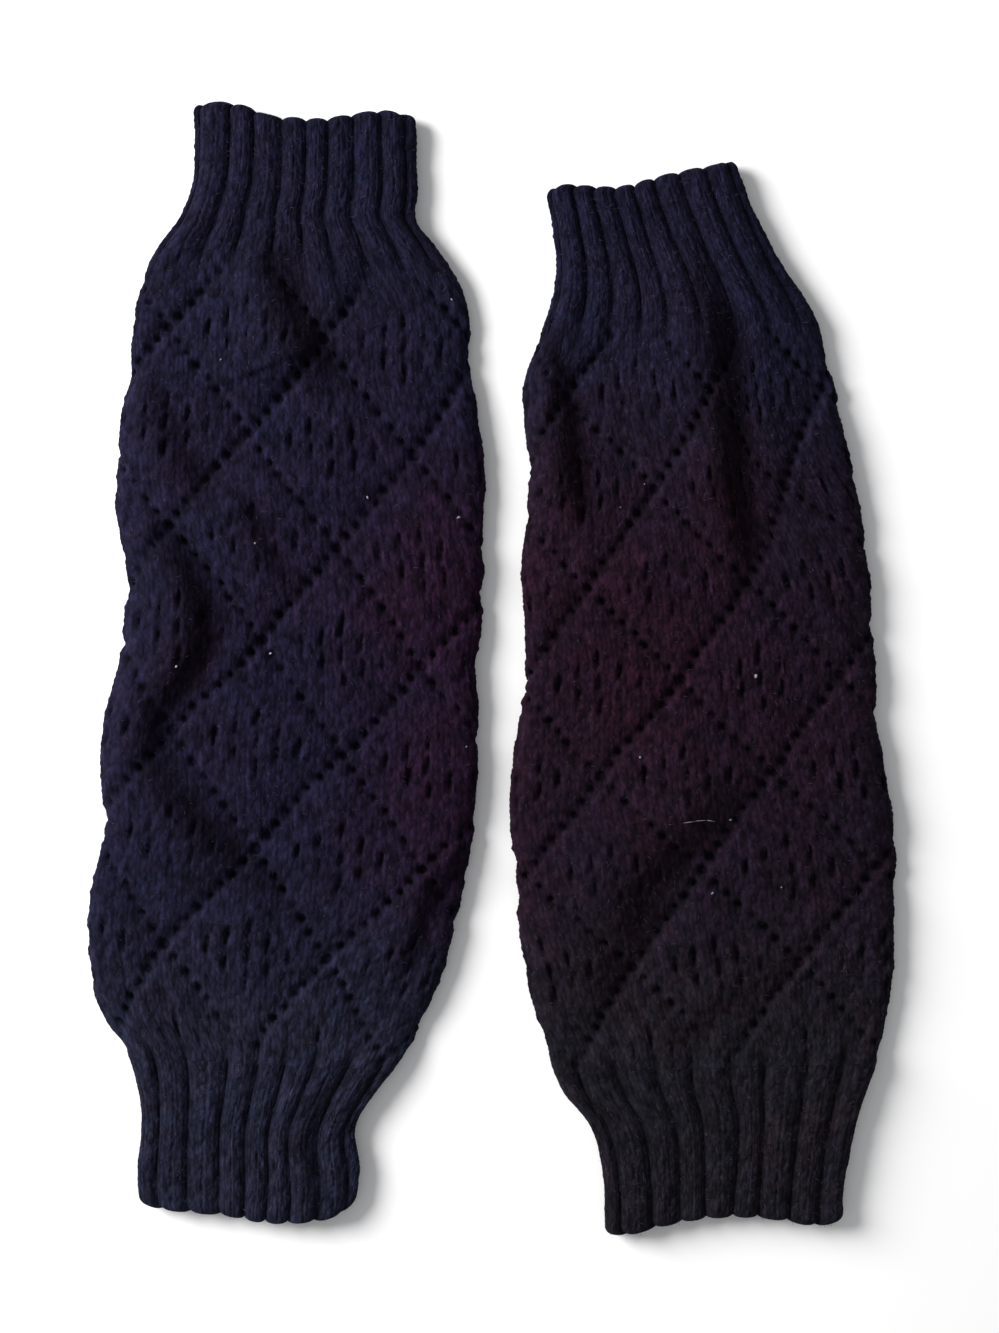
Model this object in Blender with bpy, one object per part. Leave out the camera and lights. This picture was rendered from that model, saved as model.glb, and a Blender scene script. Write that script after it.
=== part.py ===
"""A pair of knitted arm warmers laid flat, each an open tube of a lace body between two ribbed cuffs.

X runs to the right, Y towards the upper cuffs and Z up from the surface that the pair lies on. The
origin is on that surface, under the middle of the pair.
"""

import bmesh
import bpy
import numpy as np

# Lengths in this file are millimetres; the meshes are in metres.
MM = 0.001

# Cloth
BODY_WALL = 2.6  # thickness of the lace body
CUFF_WALL = 3.2  # thickness of the rib, measured on a rib
GROOVE_DEPTH = 1.2  # of the furrow between two ribs
SEAM_AIR = 0.6  # air between the two layers at the seams and in the cuffs
BODY_AIR = 1.3  # the same in the middle of a body
SEAM_GAP = 0.3  # between a cuff and its body

# Side folds of the flattened tube: how far in from the side the cloth is still turning
UPPER_TURN = 6.5
LOWER_TURN = 3.5

# Ribs
RIBS_ACROSS = 9  # on the upper layer, and as many below it
GROOVE_WIDTH = 0.17  # half the width of a furrow, in ribs
RIB_FADE = 17.0  # how far the ribs run on into the body
RIM_SCALLOP = 0.7  # how much further a rib reaches than the furrow beside it, at the open end
RIM_EASE = 6  # power of the distance to the seam at which that reach grows

# Creases: the cloth lies low along one and is raised beside it, most on the left
SHOULDER = 3.0  # over how many times its width the raised cloth comes down again
CREST = 0.675  # highest value of the raised cloth's curve, which the height is divided by
LONG_FLANK = 1.25  # of a crease's width, on its left
STEEP_FLANK = 0.8  # of a crease's width, on its right
STEEP_SHARE = 0.15  # of a crease's height that the cloth on its right reaches
SIDE_EASE = 2  # power at which a crease fades out where the cloth turns down to the side fold
CROWN = 1.8  # how much higher the middle of a body lies than its sides
INNER_RISE = 2.6  # the inner face rises by no more, so the air inside stays under 4 mm

# Rings of points: columns on the upper and lower half, how many of them share one inner column, rows
CUFF_GRID = {"upper": 54, "lower": 12, "stride": 3, "rows": 6}
BODY_GRID = {"upper": 45, "lower": 11, "stride": 2, "rows": 34}

# Each table goes from the upper end to the lower one. Outline: y, x of the left side, x of the right
# side. Rims: share of the width from the left, y of the open edge. Tilt: share of the body's length,
# how much higher a knitted row ends on the right than it starts on the left. Furrows: where the furrows
# between the ribs of each cuff lie, as shares of the width from the left. Creases: points down along
# each crease, with x, y, width, height.
LEFT = {
    "seams": (124.2, -118.2),
    "tilt": ((0.0, -4.0), (0.2, -12.0), (0.8, -12.0), (1.0, -4.0)),
    "furrows": {
        "top": (0.044, 0.175, 0.284, 0.406, 0.507, 0.603, 0.712, 0.825, 0.925),
        "bottom": (0.0, 0.122, 0.243, 0.380, 0.487, 0.586, 0.685, 0.807, 0.920),
    },
    "outline": (
        (170.0, -90.0, -22.5),
        (157.2, -89.4, -22.8),
        (142.2, -91.2, -22.5),
        (134.7, -94.5, -22.8),
        (127.2, -100.2, -17.4),
        (119.7, -104.1, -12.0),
        (112.2, -106.2, -8.4),
        (104.7, -107.4, -6.3),
        (89.7, -109.2, -6.3),
        (74.7, -111.6, -4.5),
        (59.7, -113.1, -2.4),
        (44.7, -112.5, -2.4),
        (29.7, -109.8, -2.1),
        (14.7, -110.4, -2.7),
        (-0.3, -112.8, -5.1),
        (-15.3, -116.4, -3.9),
        (-30.3, -117.6, -3.9),
        (-45.3, -117.0, -4.8),
        (-60.3, -119.4, -7.8),
        (-75.3, -121.2, -10.2),
        (-90.3, -120.0, -14.7),
        (-105.3, -116.1, -20.4),
        (-112.8, -111.3, -24.0),
        (-120.3, -108.3, -29.1),
        (-127.8, -106.5, -35.1),
        (-135.3, -105.9, -39.9),
        (-150.3, -107.1, -39.3),
        (-166.0, -106.5, -42.0),
    ),
    "top_rim": (
        (0.00, 168.6),
        (0.06, 169.4),
        (0.17, 169.4),
        (0.26, 167.8),
        (0.32, 166.0),
        (0.45, 164.8),
        (0.60, 164.6),
        (0.72, 166.0),
        (0.87, 167.0),
        (1.00, 165.2),
    ),
    "bottom_rim": (
        (0.00, -158.8),
        (0.08, -161.1),
        (0.22, -162.3),
        (0.43, -163.8),
        (0.56, -165.5),
        (0.74, -165.6),
        (0.88, -164.1),
        (0.96, -161.0),
        (1.00, -157.8),
    ),
    "creases": (
        (
            (-64.0, 134.0, 4.5, 0.0),
            (-61.0, 127.0, 5.0, 2.0),
            (-58.5, 118.0, 5.5, 3.6),
            (-54.0, 106.0, 6.0, 4.6),
            (-48.5, 97.0, 5.5, 4.2),
            (-47.0, 88.0, 4.5, 2.2),
            (-47.0, 78.0, 3.5, 0.0),
        ),
        (
            (-45.0, 104.0, 3.0, 0.0),
            (-53.0, 92.0, 3.0, 1.2),
            (-61.0, 83.0, 3.0, 1.2),
            (-69.0, 75.0, 3.0, 0.0),
        ),
        (
            (-98.0, 93.0, 4.0, 0.0),
            (-97.0, 83.0, 4.0, 1.7),
            (-92.0, 70.0, 4.5, 2.3),
            (-86.0, 60.5, 4.5, 2.3),
            (-78.0, 56.0, 4.0, 1.4),
            (-70.0, 50.0, 4.0, 0.0),
        ),
        (
            (-99.0, 51.0, 3.5, 0.0),
            (-95.5, 42.0, 4.0, 2.5),
            (-87.5, 31.0, 4.5, 4.2),
            (-83.0, 22.0, 5.0, 4.8),
            (-82.0, 10.0, 5.2, 4.9),
            (-85.5, 0.0, 5.0, 4.6),
            (-92.0, -9.0, 4.5, 3.7),
            (-97.5, -18.0, 4.5, 2.9),
            (-96.5, -28.0, 5.0, 3.2),
            (-85.5, -41.0, 5.5, 3.8),
            (-73.5, -52.5, 5.5, 3.3),
            (-65.0, -60.0, 4.5, 1.5),
            (-58.0, -66.0, 4.0, 0.0),
        ),
        (
            (-77.0, 61.0, 3.0, 0.0),
            (-71.0, 50.0, 3.5, 2.0),
            (-64.5, 38.0, 3.5, 2.2),
            (-59.5, 27.0, 3.2, 1.0),
            (-57.0, 19.0, 3.0, 0.0),
        ),
        (
            (-4.0, -50.0, 4.0, 0.0),
            (-7.0, -59.0, 4.0, 2.0),
            (-15.0, -69.0, 4.0, 2.7),
            (-19.0, -80.0, 4.0, 2.7),
            (-24.0, -92.0, 4.0, 1.7),
            (-32.0, -103.0, 4.0, 0.0),
        ),
        (
            (-98.5, -90.0, 3.0, 0.0),
            (-98.0, -98.0, 3.2, 1.4),
            (-96.0, -110.0, 3.2, 1.2),
            (-94.0, -119.0, 3.0, 0.0),
        ),
        (
            (-44.0, -120.0, 2.6, 0.0),
            (-51.0, -130.0, 2.8, 1.3),
            (-54.0, -142.0, 2.8, 1.5),
            (-52.0, -155.0, 2.6, 1.0),
            (-50.0, -164.0, 2.6, 0.5),
        ),
    ),
}
RIGHT = {
    "seams": (106.0, -119.5),
    "tilt": ((0.0, 3.0), (0.2, 3.4), (0.8, 3.4), (1.0, 3.0)),
    "furrows": {
        "top": (0.046, 0.155, 0.256, 0.365, 0.457, 0.566, 0.694, 0.808, 0.915),
        "bottom": (0.0, 0.095, 0.212, 0.325, 0.422, 0.540, 0.640, 0.767, 0.870),
    },
    "outline": (
        (156.0, 15.6, 72.5),
        (147.9, 16.2, 74.4),
        (142.2, 16.2, 76.5),
        (134.7, 17.7, 79.8),
        (127.2, 18.6, 83.7),
        (119.7, 19.2, 88.2),
        (112.2, 18.3, 93.3),
        (104.7, 15.9, 97.5),
        (97.2, 13.2, 99.9),
        (89.7, 10.5, 102.0),
        (74.7, 9.6, 105.0),
        (59.7, 10.8, 107.7),
        (44.7, 9.9, 111.3),
        (29.7, 8.7, 113.4),
        (14.7, 9.9, 114.6),
        (-0.3, 9.9, 115.2),
        (-15.3, 8.4, 115.8),
        (-30.3, 6.3, 118.2),
        (-45.3, 5.4, 120.6),
        (-60.3, 6.6, 121.5),
        (-75.3, 7.5, 120.9),
        (-90.3, 10.5, 120.0),
        (-105.3, 13.5, 118.5),
        (-112.8, 16.2, 117.3),
        (-120.3, 17.7, 115.5),
        (-127.8, 21.3, 112.8),
        (-135.3, 27.6, 110.4),
        (-142.8, 30.9, 108.6),
        (-150.3, 32.4, 107.1),
        (-170.0, 33.3, 105.3),
    ),
    "top_rim": (
        (0.00, 143.0),
        (0.08, 144.8),
        (0.19, 144.4),
        (0.33, 144.0),
        (0.43, 144.6),
        (0.52, 146.2),
        (0.66, 148.4),
        (0.78, 149.8),
        (0.90, 151.2),
        (0.95, 152.6),
        (1.00, 150.8),
    ),
    "bottom_rim": (
        (0.00, -168.6),
        (0.07, -169.6),
        (0.22, -167.1),
        (0.38, -164.7),
        (0.59, -163.8),
        (0.76, -165.0),
        (0.90, -166.6),
        (1.00, -164.6),
    ),
    "creases": (
        (
            (62.0, 129.0, 3.5, 0.0),
            (66.0, 118.0, 4.5, 2.4),
            (72.0, 105.0, 5.5, 4.3),
            (75.0, 91.0, 6.0, 5.0),
            (75.5, 73.0, 5.5, 5.0),
            (76.0, 57.0, 5.0, 4.6),
            (78.0, 44.0, 4.5, 3.5),
            (78.0, 30.0, 4.0, 1.6),
            (77.0, 16.0, 3.5, 0.0),
        ),
        (
            (18.0, 107.0, 3.5, 0.0),
            (21.0, 97.0, 3.8, 1.8),
            (25.0, 82.0, 4.2, 3.6),
            (27.0, 67.0, 4.4, 4.0),
            (28.5, 53.0, 4.0, 3.2),
            (31.0, 42.0, 3.5, 0.0),
        ),
        (
            (84.0, -34.0, 6.0, 0.0),
            (73.0, -46.0, 6.5, 1.9),
            (59.0, -59.0, 7.0, 3.0),
            (49.0, -72.0, 7.0, 3.0),
            (42.0, -90.0, 6.5, 2.2),
            (33.0, -112.0, 5.5, 0.0),
        ),
        (
            (84.0, -93.0, 3.5, 0.0),
            (76.0, -100.0, 3.5, 1.2),
            (66.0, -106.0, 3.5, 1.5),
            (60.0, -112.0, 3.5, 0.9),
            (54.0, -119.0, 3.5, 0.0),
        ),
    ),
}

# Colours of the knit, linear
NAVY = (0.010, 0.009, 0.020, 1.0)
PLUM_NAVY = (0.011, 0.006, 0.013, 1.0)
CUFF_NAVY = (0.010, 0.010, 0.021, 1.0)
BLACK_NAVY = (0.010, 0.009, 0.012, 1.0)
KNIT_ROUGHNESS = 0.92
SHARP_ANGLE = 50  # degrees; edges of the cloth sharper than this stay crisp


def clear_scene():
    for thing in list(bpy.data.objects):
        bpy.data.objects.remove(thing, do_unlink=True)


def smooth(table, column, at):
    """Value of a table's column on a smooth curve through its rows, at a place in its first column."""
    rows = np.array(sorted(table), float)
    places, values = rows[:, 0], rows[:, column]
    slopes = np.gradient(values, places)
    row = np.clip(np.searchsorted(places, at) - 1, 0, len(places) - 2)
    span = places[row + 1] - places[row]
    u = np.clip((at - places[row]) / span, 0.0, 1.0)
    ends = (1 + 2 * u) * (1 - u) ** 2 * values[row] + u * u * (3 - 2 * u) * values[row + 1]
    return ends + span * u * (1 - u) * ((1 - u) * slopes[row] - u * slopes[row + 1])


def crease_lift(creases, x, y):
    """Height that the creases add to the upper layer: none along a crease, with raised cloth beside it."""
    lift = np.zeros_like(x)
    for points in creases:
        nearest = np.full_like(x, np.inf)
        width, height = np.ones_like(x), np.zeros_like(x)
        for start, end in zip(points, points[1:]):
            run = np.subtract(end[:2], start[:2])
            along = ((x - start[0]) * run[0] + (y - start[1]) * run[1]) / (run @ run)
            along = np.clip(along, 0.0, 1.0)
            off_x = x - start[0] - along * run[0]
            off_y = y - start[1] - along * run[1]
            off = np.hypot(off_x, off_y)
            closer = off < nearest
            on_right = run[0] * off_y - run[1] * off_x > 0
            flank = np.where(on_right, STEEP_FLANK, LONG_FLANK)
            reach = np.where(on_right, STEEP_SHARE, 1.0)
            nearest = np.where(closer, off, nearest)
            width = np.where(closer, flank * (start[2] + along * (end[2] - start[2])), width)
            height = np.where(closer, reach * (start[3] + along * (end[3] - start[3])), height)
        far = nearest / width
        lift += height * (np.exp(-((far / SHOULDER) ** 2)) - np.exp(-(far**2))) / CREST
    return lift


def half_ring(share, width, rise, turn):
    """Upper half of a flattened ring: distance from its left side, height and outward normal.

    share runs along the cloth from the left side over the flat top to the right side.
    """
    quarter = 0.5 * np.pi * np.sqrt(0.5 * (turn**2 + rise**2))
    total = 2 * quarter + width - 2 * turn
    run = np.minimum(share, 1 - share) * total
    angle = np.clip(run / quarter, 0.0, 1.0) * 0.5 * np.pi
    across = turn * (1 - np.cos(angle)) + np.maximum(run - quarter, 0.0)
    normal = np.stack([-np.cos(angle) * rise, np.sin(angle) * turn], axis=-1)
    normal /= np.linalg.norm(normal, axis=-1, keepdims=True)
    right = share > 0.5
    across = np.where(right, width - across, across)
    normal[..., 0] *= np.where(right, -1, 1)
    return across, rise * np.sin(angle), normal


def furrow_lines(places):
    """Shares of the width at which the furrows lie, with one more beyond each side."""
    return np.array([places[-1] - 1, *places, places[0] + 1])


def rib_shape(places, share):
    """1 on a rib and 0 in the furrow; the lower layer has its furrows under those of the upper one."""
    around = np.where(share < 1, share, 2 - share)
    rib = np.interp(around, furrow_lines(places), np.arange(len(places) + 2))
    off = np.abs(rib - np.round(rib))
    return 1 - np.exp(-((off / GROOVE_WIDTH) ** 2))


def column_shares(warmer, panel, t):
    """Places of a ring's columns round the tube, with as many between any two furrows of the upper layer."""
    grid = BODY_GRID if panel == "body" else CUFF_GRID
    ribs = 1 + np.arange(grid["upper"]) * RIBS_ACROSS / grid["upper"]
    numbers = np.arange(RIBS_ACROSS + 2)
    top, bottom = (np.interp(ribs, numbers, furrow_lines(places)) for places in warmer["furrows"].values())
    down = {"top_cuff": 0.0, "body": t, "bottom_cuff": 1.0}[panel]
    above = (1 - down) * top + down * bottom
    below = above[0] + 1.5 - 0.5 * np.cos(np.pi * np.arange(grid["lower"]) / grid["lower"])
    return np.concatenate([above, below]) % 2.0


def row_line(warmer, panel, t):
    """Y of a knitted row by the share of the width, at share t of the panel's length from its top."""
    top, bottom = warmer["seams"]

    def seam(y, share_along):
        tilt = smooth(warmer["tilt"], 1, share_along)
        return lambda share: y + tilt * (share - 0.5)

    if panel == "body":
        clear = 0.5 * SEAM_GAP
        return seam(top - clear + t * (bottom - top + 2 * clear), t)
    if panel == "top_cuff":
        joined, rim, to_rim = seam(top + 0.5 * SEAM_GAP, 0.0), warmer["top_rim"], 1 - t
    else:
        joined, rim, to_rim = seam(bottom - 0.5 * SEAM_GAP, 1.0), warmer["bottom_rim"], t
    return lambda share: (1 - to_rim) * joined(share) + to_rim * smooth(rim, 1, share)


def rib_strength(warmer, panel, t):
    """How full the ribs are at this row, and where their furrows lie."""
    furrows = warmer["furrows"]
    if panel != "body":
        return 1.0, furrows[panel.removesuffix("_cuff")]
    top, bottom = warmer["seams"]
    from_top, from_bottom = t * (top - bottom), (1 - t) * (top - bottom)
    strength = max(0.0, 1 - min(from_top, from_bottom) / RIB_FADE) ** 2
    return strength, furrows["top" if from_top < from_bottom else "bottom"]


def ring_points(warmer, panel, t, shares, inner):
    """Points of one ring of the outer or inner face; shares run 0 to 1 above and 1 to 2 below."""
    line = row_line(warmer, panel, t)
    left = smooth(warmer["outline"], 1, line(0.0))
    right = smooth(warmer["outline"], 2, line(1.0))
    ribs, furrows = rib_strength(warmer, panel, t)
    wall = BODY_WALL + (CUFF_WALL - BODY_WALL) * ribs
    puff = np.sin(np.pi * t) if panel == "body" else 0.0
    side_height = wall + 0.5 * (SEAM_AIR + (BODY_AIR - SEAM_AIR) * puff)
    inset = wall if inner else 0.0
    upper = shares < 1
    turn = np.where(upper, UPPER_TURN, LOWER_TURN) - inset
    around = np.where(upper, shares, 2 - shares)
    across, rise, normal = half_ring(around, right - left - 2 * inset, side_height - inset, turn)
    furrow = 0.0 if inner else GROOVE_DEPTH * ribs * (1 - rib_shape(furrows, shares))
    groove = furrow * np.where(upper, 1.0, 1 - rise / side_height)
    across = across + inset - groove * normal[:, 0]
    x = left + across
    place = np.clip(across / (right - left), 0.0, 1.0)
    y = line(place) + rim_scallop(panel, t, shares, furrows)
    full = rise / (side_height - inset)
    raised = CROWN * puff * np.sin(np.pi * place) + full**SIDE_EASE * crease_lift(warmer["creases"], x, y)
    if inner:
        raised = INNER_RISE * np.tanh(raised / INNER_RISE)
    z = side_height + np.where(upper, rise - groove * normal[:, 1] + raised, -rise)
    return np.stack([x, y, z], axis=-1)


def rim_scallop(panel, t, shares, furrows):
    """Outward reach of the open edge at each rib, none at the seam."""
    if panel == "body":
        return 0.0
    outward = 1 if panel == "top_cuff" else -1
    to_rim = 1 - t if panel == "top_cuff" else t
    return outward * to_rim**RIM_EASE * RIM_SCALLOP * (rib_shape(furrows, shares) - 0.5)


def panel_mesh(warmer, panel):
    """Closed wall of one panel: its outer face, inner face and the two ends, as vertices and faces."""
    grid = BODY_GRID if panel == "body" else CUFF_GRID
    stride, rows = grid["stride"], grid["rows"]
    levels = np.arange(rows + 1) / rows
    rings = [column_shares(warmer, panel, t) for t in levels]
    outer = np.concatenate([ring_points(warmer, panel, t, r, False) for t, r in zip(levels, rings)])
    inner = np.concatenate([ring_points(warmer, panel, t, r[::stride], True) for t, r in zip(levels, rings)])
    around, inside = len(rings[0]), len(rings[0][::stride])
    faces = tube_faces(rows, around, 0) + tube_faces(rows, inside, len(outer))
    for row in (0, rows):
        faces += end_faces(row * around, len(outer) + row * inside, around, inside, stride)
    return np.concatenate([outer, inner]) * MM, faces


def tube_faces(rows, around, first):
    faces = []
    for row in range(rows):
        here = first + row * around
        for i in range(around):
            j = (i + 1) % around
            faces.append((here + i, here + j, here + around + j, here + around + i))
    return faces


def end_faces(outer_first, inner_first, around, inside, stride):
    """Flat edge of the cloth between the outer and the inner ring, as triangles."""
    faces = []
    for i in range(inside):
        corner, following = inner_first + i, inner_first + (i + 1) % inside
        for k in range(stride):
            first = outer_first + i * stride + k
            second = outer_first + (i * stride + k + 1) % around
            faces.append((corner, first, second))
        faces.append((corner, second, following))
    return faces


def knit_material(name, colour):
    material = bpy.data.materials.new(name)
    material.use_nodes = True
    shader = material.node_tree.nodes["Principled BSDF"]
    shader.inputs["Base Color"].default_value = colour
    shader.inputs["Roughness"].default_value = KNIT_ROUGHNESS
    shader.inputs["Metallic"].default_value = 0.0
    material.diffuse_color = colour
    return material


def add_panel(name, warmer, panel, colour):
    vertices, faces = panel_mesh(warmer, panel)
    mesh = bpy.data.meshes.new(name)
    mesh.from_pydata(vertices.tolist(), [], faces)
    shape = bmesh.new()
    shape.from_mesh(mesh)
    bmesh.ops.recalc_face_normals(shape, faces=shape.faces)
    shape.to_mesh(mesh)
    shape.free()
    mesh.shade_smooth()
    mesh.set_sharp_from_angle(angle=np.radians(SHARP_ANGLE))
    mesh.materials.append(knit_material(name + "_knit", colour))
    bpy.context.scene.collection.objects.link(bpy.data.objects.new(name, mesh))


def left_warmer():
    add_panel("left_top_cuff", LEFT, "top_cuff", CUFF_NAVY)
    add_panel("left_body", LEFT, "body", NAVY)
    add_panel("left_bottom_cuff", LEFT, "bottom_cuff", CUFF_NAVY)


def right_warmer():
    add_panel("right_top_cuff", RIGHT, "top_cuff", CUFF_NAVY)
    add_panel("right_body", RIGHT, "body", PLUM_NAVY)
    add_panel("right_bottom_cuff", RIGHT, "bottom_cuff", BLACK_NAVY)


clear_scene()
left_warmer()
right_warmer()
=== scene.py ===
"""Looks of a pair of knitted arm warmers laid flat: lace bodies between ribbed cuffs, on a pale floor.

Each panel is a closed cloth wall on the tables and formulas of its solid, with its stitches, eyelets,
ribs and creases in the mesh. Lengths are millimetres until a mesh is made. X runs to the right, Y
towards the upper cuffs and Z up.
"""

import math

import bmesh
import bpy
import numpy as np
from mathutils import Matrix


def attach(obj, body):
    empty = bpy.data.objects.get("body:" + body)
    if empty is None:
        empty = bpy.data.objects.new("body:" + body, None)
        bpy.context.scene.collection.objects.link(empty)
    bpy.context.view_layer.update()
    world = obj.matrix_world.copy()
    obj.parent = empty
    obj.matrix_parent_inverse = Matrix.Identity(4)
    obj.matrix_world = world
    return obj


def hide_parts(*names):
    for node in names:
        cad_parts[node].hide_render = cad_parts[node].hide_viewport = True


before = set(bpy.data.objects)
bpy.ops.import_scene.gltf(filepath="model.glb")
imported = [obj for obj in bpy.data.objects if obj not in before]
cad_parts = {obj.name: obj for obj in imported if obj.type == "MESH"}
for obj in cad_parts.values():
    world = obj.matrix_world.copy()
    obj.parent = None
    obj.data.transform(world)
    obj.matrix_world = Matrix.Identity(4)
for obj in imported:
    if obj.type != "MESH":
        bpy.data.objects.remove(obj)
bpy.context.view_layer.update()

MM = 0.001
RNG_SEED = 41

# Cloth, as in the solids
BODY_WALL = 2.6
CUFF_WALL = 3.2
SEAM_AIR = 0.6
BODY_AIR = 1.3
UPPER_TURN = 6.5
LOWER_TURN = 3.5
SEAM_GAP = 0.04  # the knit runs on from a cuff to its body, so the pieces all but touch
RIBS_ACROSS = 9
RIB_FADE = 17.0
SHOULDER = 3.0
CREST = 0.675
LONG_FLANK = 1.25
STEEP_FLANK = 0.8
STEEP_SHARE = 0.15
SIDE_EASE = 2
CROWN = 1.8
INNER_RISE = 2.6
LENGTH = 340.0  # of the pair

# Painted shade in the creases, which darkens the colour there, in widths of the crease on its long flank
FOLD_MIDDLE = 0.8
FOLD_SPREAD = 1.2
FOLD_CUT = 1.6  # how much faster it ends on the steep flank
FOLD_FULL = 4.0  # height from which a crease is fully shaded

# Ribs
FURROW_DEPTH = 1.75  # between two ribs of a cuff
FURROW_PINCH = 2.2  # higher makes the furrow narrower and the rib flatter
FURROW_EASE = 0.62  # lower makes the sides of a rib steeper
KNIT_SHARE = 0.38  # of a rib's pitch, from its middle, that its two knit wales take
RIB_WANDER = 0.08  # in ribs: how far a furrow strays from its place
LIP = 1.9  # how far the rounded end of a cuff reaches past its walls
RIM_SCALLOP = 1.1  # how much further a rib reaches than the furrow beside it
RIM_EASE = 6
RIM_SWELL = 0.3  # soft rise and fall of a cuff towards its open end
LIP_COURSES = 0.4  # for each row of the rounded end
FURROW_STITCHES = 0.5  # height of the stitches in a furrow, as a share
PRESSED = 0.35  # how far the stitches of the underside are pressed in

# Stitches: a wale is a column of stitches and a course a row
WALES_ABOVE = 36  # on the upper layer of a body
WALES_ROUND = 80  # five repeats of the lattice; the ones that never show lie closer together
COURSES = 126
WALE = 3.1
COURSE = 1.87
LEG_HEIGHT = 0.12  # how far the two legs of a stitch stand above the valleys beside them
LEG_LEAN = 1.1  # courses by which a leg climbs for each wale that it crosses
LOOP_HEIGHT = 0.08  # how far a stitch stands above the one that it hangs on
LEG_UNEVEN = 0.24  # how far single legs stand higher or lower
WALE_WANDER = 0.2  # how far a column strays from its place, in wales
COURSE_WANDER = 0.35  # how far a row strays, in courses

# Lace: lines of round eyelets that cross in nodes, and slits inside each diamond
REPEAT = 16  # wales from a node to the next one in its row
NODE_COURSE = 13
NODE_WALE = 5
EYELET_RADIUS = 0.98
EYELET_DEPTH = 2.0
EYELET_EDGE = 3.5  # higher makes its side steeper
EYELET_STRAY = (0.16, 0.22)  # wales and courses
EYELET_UNEVEN = 0.22  # of the radius
EYELET_SKEW = 0.2  # courses for each wale
EYELET_PULL = (0.8, 0.3)  # how open one is, and how much that varies
SLIT_STEP = 2  # wales across and courses down to the next slit beside it
SLIT_HALF_WIDTH = 0.75
SLIT_HALF_HEIGHT = 2.8
SLIT_DEPTH = 1.3
SLIT_EDGE = 4
SLIT_STRAY = (0.14, 0.2)  # wales and courses
SLIT_UNEVEN = 0.2  # of the height
SLIT_LEAN = 0.1  # wales for each course
SLIT_PULL = (0.8, 0.35)  # as for an eyelet
SLIT_SHADE = 0.65  # as a share of an eyelet's
SLIT_RIDGE = (0.2, 2.0, 0.7)  # height of the ridge round it; place and spread, in slit widths
BUMP_HEIGHT = 0.45  # of the slanted stitch beside an eyelet
BUMP_UNEVEN = 0.5
BUMP_RADIUS = 1.25
BUMP_PLACE = (0.85, 0.35)  # wales and courses from the eyelet
LINE_DEPTH = {"falling": 0.35, "rising": 0.6}
LINE_OPEN = {"falling": 1.0, "rising": 1.05}  # how far the eyelets of a line are pulled open
LINE_HALF_WIDTH = 1.9
LINE_NEARER = 0.77  # the way straight to a slanting line, as a share of the way along a course
QUILT_HEIGHT = 0.8  # how far a diamond puffs up between its lines
QUILT_REACH = 8.0
SWELL = 0.4  # soft rise and fall of the laid cloth
SMALL_SWELL = 0.5  # of the smaller waves, as a share
SWALLOW_SOFT = 3.0  # half the width over which the fold swallows its wales
SWALLOW_BACK = 0.6  # share of the lower layer over which they come back

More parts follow.
